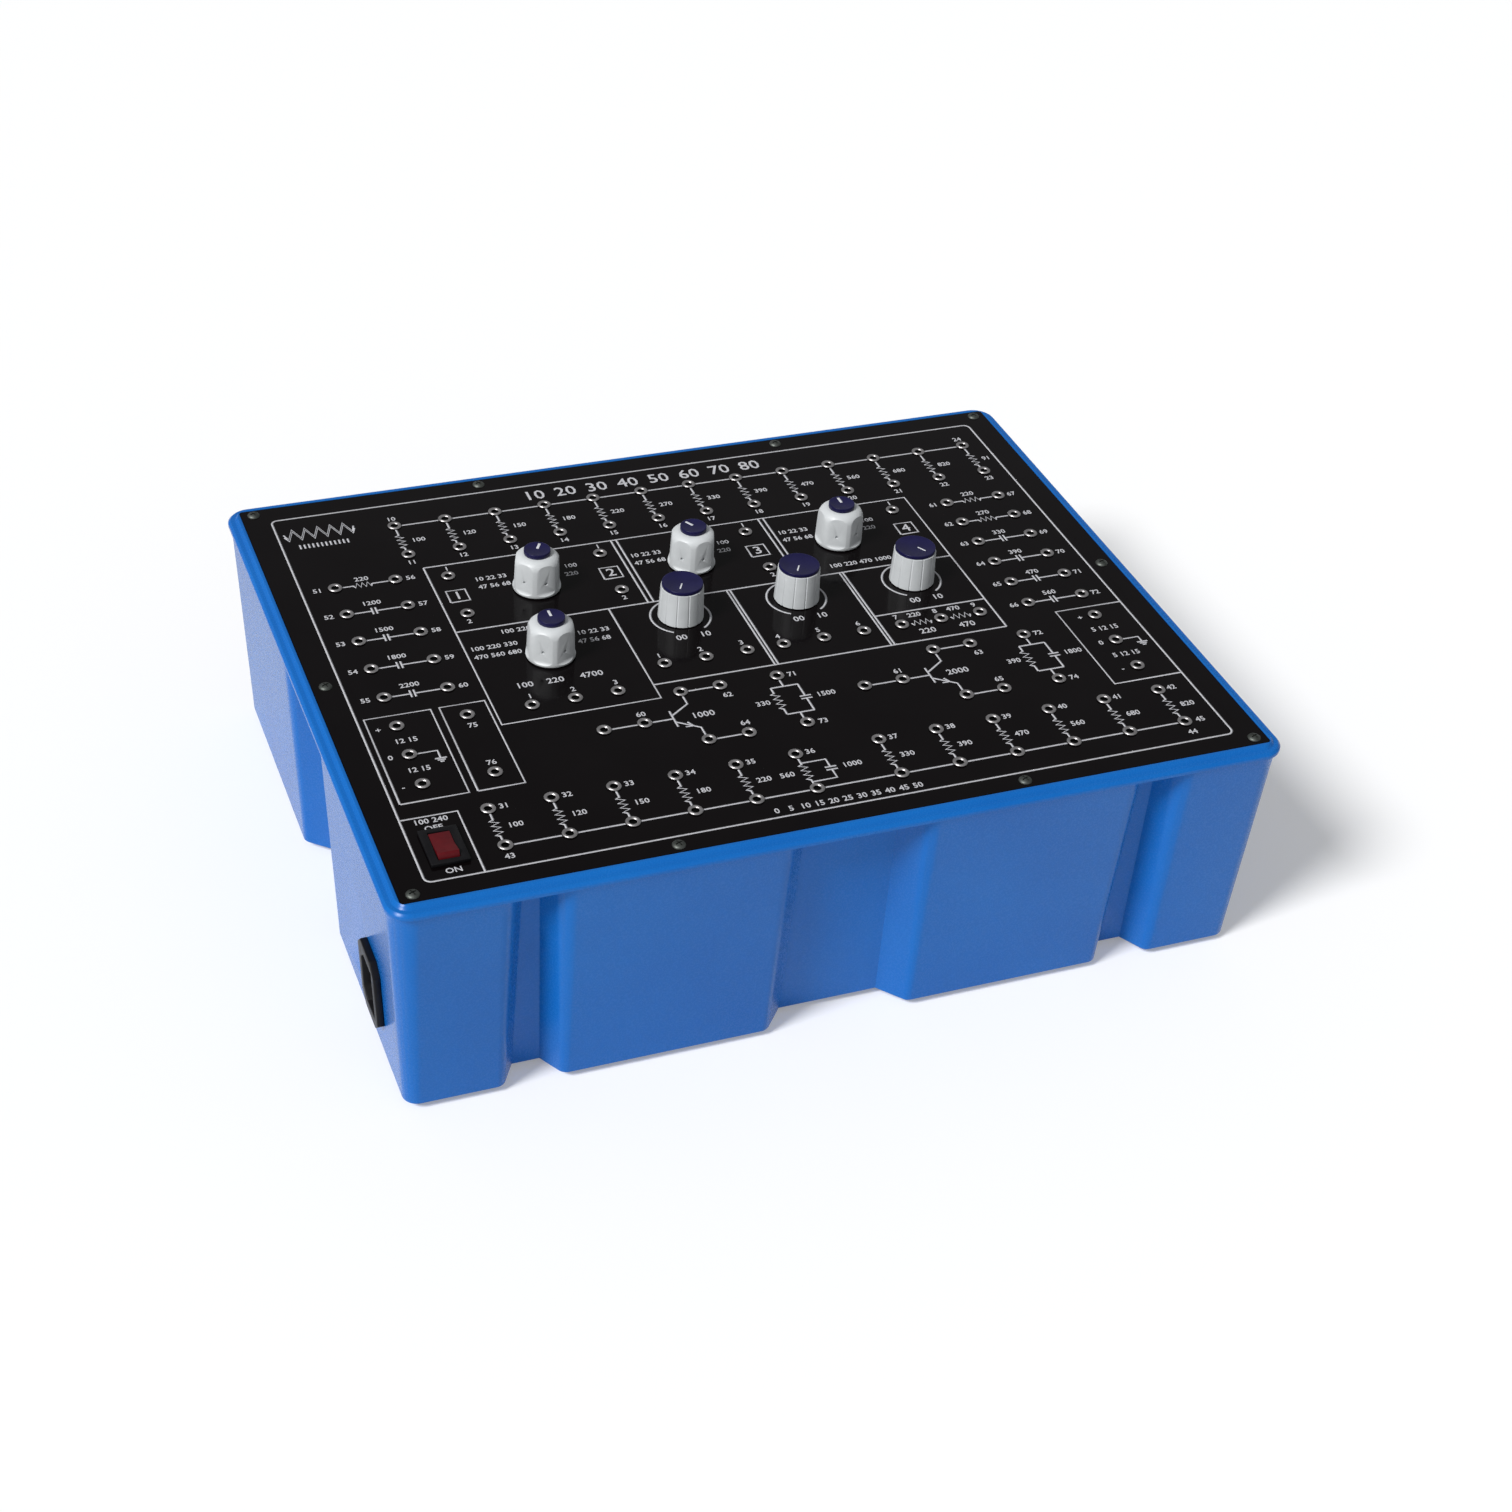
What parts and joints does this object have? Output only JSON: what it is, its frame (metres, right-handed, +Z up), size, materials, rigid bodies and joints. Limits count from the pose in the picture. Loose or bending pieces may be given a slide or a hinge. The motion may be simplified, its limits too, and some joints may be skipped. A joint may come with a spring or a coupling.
{
  "type": "transistor trainer",
  "caption": "Desktop electronics trainer: channelled moulded tub closed by a flat panel with test sockets, selector and dial knobs and a rocker switch.",
  "frame": {"origin": "on the table under the middle of the case", "axes": "+X to the user's right, +Y to the back, +Z up"},
  "size_m": [0.3716, 0.2896, 0.1244],
  "materials": {
    "tub_plastic": "satin moulded",
    "panel_face": "glossy",
    "screw_metal": "plated",
    "socket_metal": "bright nickel",
    "switch_body": "moulded",
    "shaft_metal": "turned",
    "knob_plastic": "satin",
    "cap_plastic": "satin",
    "pot_body": "passivated",
    "nut_metal": "plated",
    "housing_plastic": "moulded",
    "rocker_plastic": "moulded",
    "inlet_plastic": "moulded",
    "blade_metal": "nickel",
    "core_steel": "varnished laminations",
    "winding_tape": "taped",
    "pillar_plastic": "moulded",
    "board_laminate": "phenolic laminate",
    "filter_sleeve": "sleeve",
    "regulator_case": "moulded",
    "resistor_body": "lacquer",
    "capacitor_body": "film",
    "transistor_can": "plated"
  },
  "bodies": {
    "case": {"tub": "tub_plastic", "panel": "panel_face", "panel_screws": "screw_metal", "top_row_sockets": "socket_metal", "bottom_row_sockets": "socket_metal", "left_column_sockets": "socket_metal", "right_column_sockets": "socket_metal", "selector_sockets": "socket_metal", "dial_sockets": "socket_metal", "stage_sockets": "socket_metal", "supply_sockets": "socket_metal", "selector_switch_1": "switch_body", "selector_switch_2": "switch_body", "selector_switch_3": "switch_body", "selector_switch_4": "switch_body", "potentiometer_1": "pot_body", "potentiometer_2": "pot_body", "potentiometer_3": "pot_body", "control_nuts": "nut_metal", "rocker_housing": "housing_plastic", "mains_inlet": "inlet_plastic", "inlet_blades": "blade_metal", "transformer_core": "core_steel", "transformer_winding": "winding_tape", "board_pillars": "pillar_plastic", "supply_board": "board_laminate", "filter_capacitors": "filter_sleeve", "regulators": "regulator_case", "circuit_board": "board_laminate", "board_resistors": "resistor_body", "board_capacitors": "capacitor_body", "board_transistors": "transistor_can"},
    "selector_1": {"selector_knob_1": "knob_plastic", "selector_cap_1": "cap_plastic", "selector_shaft_1": "shaft_metal"},
    "selector_2": {"selector_knob_2": "knob_plastic", "selector_cap_2": "cap_plastic", "selector_shaft_2": "shaft_metal"},
    "selector_3": {"selector_knob_3": "knob_plastic", "selector_cap_3": "cap_plastic", "selector_shaft_3": "shaft_metal"},
    "selector_4": {"selector_knob_4": "knob_plastic", "selector_cap_4": "cap_plastic", "selector_shaft_4": "shaft_metal"},
    "dial_1": {"dial_knob_1": "knob_plastic", "dial_cap_1": "cap_plastic", "potentiometer_shaft_1": "shaft_metal"},
    "dial_2": {"dial_knob_2": "knob_plastic", "dial_cap_2": "cap_plastic", "potentiometer_shaft_2": "shaft_metal"},
    "dial_3": {"dial_knob_3": "knob_plastic", "dial_cap_3": "cap_plastic", "potentiometer_shaft_3": "shaft_metal"},
    "rocker_lever": {"rocker": "rocker_plastic"}
  },
  "joints": [
    {"name": "selector_1_turn", "type": "hinge", "parent": "case", "child": "selector_1", "pos_m": [-0.0715, 0.04751, 0.1053], "axis": [0, 0, -1], "range_deg": [-60, 0]},
    {"name": "selector_2_turn", "type": "hinge", "parent": "case", "child": "selector_2", "pos_m": [-0.081, -0.00278, 0.1053], "axis": [0, 0, -1], "range_deg": [-30, 30]},
    {"name": "selector_3_turn", "type": "hinge", "parent": "case", "child": "selector_3", "pos_m": [-0.0012, 0.04781, 0.1053], "axis": [0, 0, -1], "range_deg": [0, 60]},
    {"name": "selector_4_turn", "type": "hinge", "parent": "case", "child": "selector_4", "pos_m": [0.0683, 0.0485, 0.1053], "axis": [0, 0, -1], "range_deg": [-30, 30]},
    {"name": "dial_1_turn", "type": "hinge", "parent": "case", "child": "dial_1", "pos_m": [-0.0196, 0.01008, 0.1053], "axis": [0, 0, -1], "range_deg": [0, 300]},
    {"name": "dial_2_turn", "type": "hinge", "parent": "case", "child": "dial_2", "pos_m": [0.0331, 0.01008, 0.1053], "axis": [0, 0, -1], "range_deg": [0, 300]},
    {"name": "dial_3_turn", "type": "hinge", "parent": "case", "child": "dial_3", "pos_m": [0.087, 0.01008, 0.1053], "axis": [0, 0, -1], "range_deg": [-300, 0]},
    {"name": "rocker_tilt", "type": "hinge", "parent": "case", "child": "rocker_lever", "pos_m": [-0.1565, -0.112, 0.1037], "axis": [1, 0, 0], "range_deg": [0, 14]}
  ]
}
